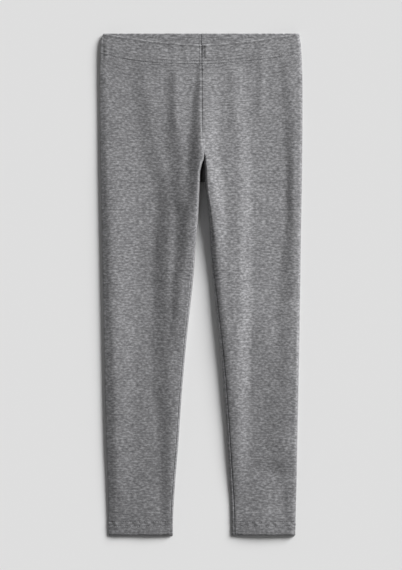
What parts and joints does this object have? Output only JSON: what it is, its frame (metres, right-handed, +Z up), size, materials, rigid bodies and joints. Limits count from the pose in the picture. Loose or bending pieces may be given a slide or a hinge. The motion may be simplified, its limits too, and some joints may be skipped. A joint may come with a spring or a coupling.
{
  "type": "leggings",
  "caption": "Child's full-length jersey leggings in grey melange, laid flat, with an elastic waist casing and stitched hems.",
  "frame": {"origin": "on the surface under the middle of the garment's outline", "axes": "+X towards the wearer's left side, +Y towards the waist, +Z up out of the front"},
  "size_m": [0.2881, 0.7136, 0.0287],
  "materials": {
    "jersey": "matt melange single jersey with fine horizontal flecks",
    "casing": "the same jersey doubled over a soft elastic, twin-needle stitched",
    "hem": "the same jersey doubled, twin-needle stitched"
  },
  "bodies": {
    "root": {"waistband": "casing", "leg_right_hip": "jersey", "leg_right_thigh": "jersey", "leg_right_calf": "jersey", "leg_left_hip": "jersey", "leg_left_thigh": "jersey", "leg_left_calf": "jersey", "hem_right": "hem", "hem_left": "hem"}
  },
  "joints": []
}
